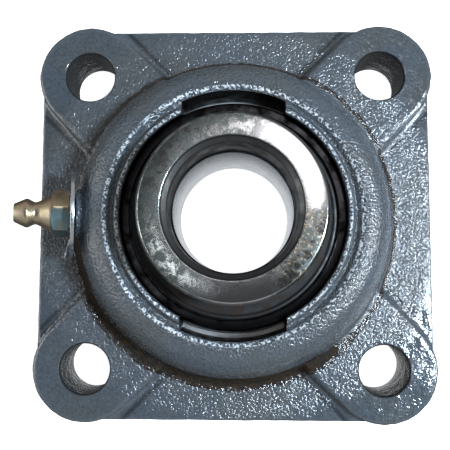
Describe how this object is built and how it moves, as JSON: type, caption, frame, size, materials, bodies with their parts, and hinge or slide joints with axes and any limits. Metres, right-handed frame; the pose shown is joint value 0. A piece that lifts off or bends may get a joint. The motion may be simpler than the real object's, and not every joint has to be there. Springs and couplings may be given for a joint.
{
  "type": "flange mount bearing",
  "caption": "Square flange bearing unit with bolt holes at its corners, a self-aligning ball insert, an eccentric locking collar and an angled grease fitting.",
  "frame": {"origin": "where the shaft axis meets the flange's back (mounting) face, at the centre of the bolt pattern", "axes": "+Z along the shaft axis, from the mounting face to the collar; the grease fitting points to -X"},
  "size_m": [0.097, 0.095, 0.0425],
  "materials": {
    "cast_paint": "glossy blue-grey paint over rough sand-cast iron",
    "ring_steel": "ground bearing steel",
    "ball_steel": "polished bearing steel",
    "cage_steel": "stamped steel strip",
    "seal_rubber": "black moulded rubber",
    "collar_steel": "turned steel, oiled and lightly stained",
    "screw_steel": "black oxide",
    "plated_steel": "yellow-passivated zinc on steel",
    "spring_steel": "drawn wire",
    "washer_steel": "bright zinc"
  },
  "bodies": {
    "housing_body": {"housing": "cast_paint", "grease_fitting_body": "plated_steel", "grease_fitting_spring": "spring_steel", "fitting_washer": "washer_steel"},
    "outer_race": {"outer_ring": "ring_steel", "front_seal": "seal_rubber", "rear_seal": "seal_rubber"},
    "inner_race": {"inner_ring": "ring_steel"},
    "cage": {"cage_front_half": "cage_steel", "cage_rear_half": "cage_steel", "cage_rivet_1": "cage_steel", "cage_rivet_2": "cage_steel", "cage_rivet_3": "cage_steel", "cage_rivet_4": "cage_steel", "cage_rivet_5": "cage_steel", "cage_rivet_6": "cage_steel", "cage_rivet_7": "cage_steel", "cage_rivet_8": "cage_steel", "cage_rivet_9": "cage_steel"},
    "ball_1": {"ball_1": "ball_steel"},
    "ball_2": {"ball_2": "ball_steel"},
    "ball_3": {"ball_3": "ball_steel"},
    "ball_4": {"ball_4": "ball_steel"},
    "ball_5": {"ball_5": "ball_steel"},
    "ball_6": {"ball_6": "ball_steel"},
    "ball_7": {"ball_7": "ball_steel"},
    "ball_8": {"ball_8": "ball_steel"},
    "ball_9": {"ball_9": "ball_steel"},
    "collar": {"locking_collar": "collar_steel"},
    "set_screw": {"collar_set_screw": "screw_steel"},
    "check_ball": {"grease_fitting_ball": "ball_steel"}
  },
  "joints": [
    {"name": "self_align", "type": "hinge", "parent": "housing_body", "child": "outer_race", "pos_m": [0, 0, 0.019], "axis": [1, 0, 0], "range_deg": [-5, 5]},
    {"name": "shaft_spin", "type": "hinge", "parent": "outer_race", "child": "inner_race", "pos_m": [0, 0, 0.019], "axis": [0, 0, 1], "continuous": true},
    {"name": "cage_spin", "type": "hinge", "parent": "outer_race", "child": "cage", "pos_m": [0, 0, 0.019], "axis": [0, 0, 1], "continuous": true},
    {"name": "ball_1_spin", "type": "hinge", "parent": "cage", "child": "ball_1", "pos_m": [0.0192, 0.00339, 0.019], "axis": [0, 0, 1], "continuous": true},
    {"name": "ball_2_spin", "type": "hinge", "parent": "cage", "child": "ball_2", "pos_m": [0.01253, 0.01494, 0.019], "axis": [0, 0, 1], "continuous": true},
    {"name": "ball_3_spin", "type": "hinge", "parent": "cage", "child": "ball_3", "pos_m": [0, 0.0195, 0.019], "axis": [0, 0, 1], "continuous": true},
    {"name": "ball_4_spin", "type": "hinge", "parent": "cage", "child": "ball_4", "pos_m": [-0.01253, 0.01494, 0.019], "axis": [0, 0, 1], "continuous": true},
    {"name": "ball_5_spin", "type": "hinge", "parent": "cage", "child": "ball_5", "pos_m": [-0.0192, 0.00339, 0.019], "axis": [0, 0, 1], "continuous": true},
    {"name": "ball_6_spin", "type": "hinge", "parent": "cage", "child": "ball_6", "pos_m": [-0.01689, -0.00975, 0.019], "axis": [0, 0, 1], "continuous": true},
    {"name": "ball_7_spin", "type": "hinge", "parent": "cage", "child": "ball_7", "pos_m": [-0.00667, -0.01832, 0.019], "axis": [0, 0, 1], "continuous": true},
    {"name": "ball_8_spin", "type": "hinge", "parent": "cage", "child": "ball_8", "pos_m": [0.00667, -0.01832, 0.019], "axis": [0, 0, 1], "continuous": true},
    {"name": "ball_9_spin", "type": "hinge", "parent": "cage", "child": "ball_9", "pos_m": [0.01689, -0.00975, 0.019], "axis": [0, 0, 1], "continuous": true},
    {"name": "collar_lock", "type": "hinge", "parent": "inner_race", "child": "collar", "pos_m": [0, 0, 0.0358], "axis": [0, 0, 1], "range_deg": [-16, 16]},
    {"name": "set_screw_travel", "type": "slide", "parent": "collar", "child": "set_screw", "axis": [0.5, -0.866, 0], "range_m": [0, 0.002]},
    {"name": "check_ball_lift", "type": "slide", "parent": "housing_body", "child": "check_ball", "axis": [0.9666, 0, -0.2561], "range_m": [0, 0.0008], "stiffness_N_per_m": 300, "springref_m": -0.002, "deforming": ["grease_fitting_spring"]}
  ],
  "couplings": [
    {"joint": "cage_spin", "follows": "shaft_spin", "ratio": 0.39823},
    {"joint": "ball_1_spin", "follows": "shaft_spin", "ratio": -2.3548},
    {"joint": "ball_2_spin", "follows": "shaft_spin", "ratio": -2.3548},
    {"joint": "ball_3_spin", "follows": "shaft_spin", "ratio": -2.3548},
    {"joint": "ball_4_spin", "follows": "shaft_spin", "ratio": -2.3548},
    {"joint": "ball_5_spin", "follows": "shaft_spin", "ratio": -2.3548},
    {"joint": "ball_6_spin", "follows": "shaft_spin", "ratio": -2.3548},
    {"joint": "ball_7_spin", "follows": "shaft_spin", "ratio": -2.3548},
    {"joint": "ball_8_spin", "follows": "shaft_spin", "ratio": -2.3548},
    {"joint": "ball_9_spin", "follows": "shaft_spin", "ratio": -2.3548}
  ]
}
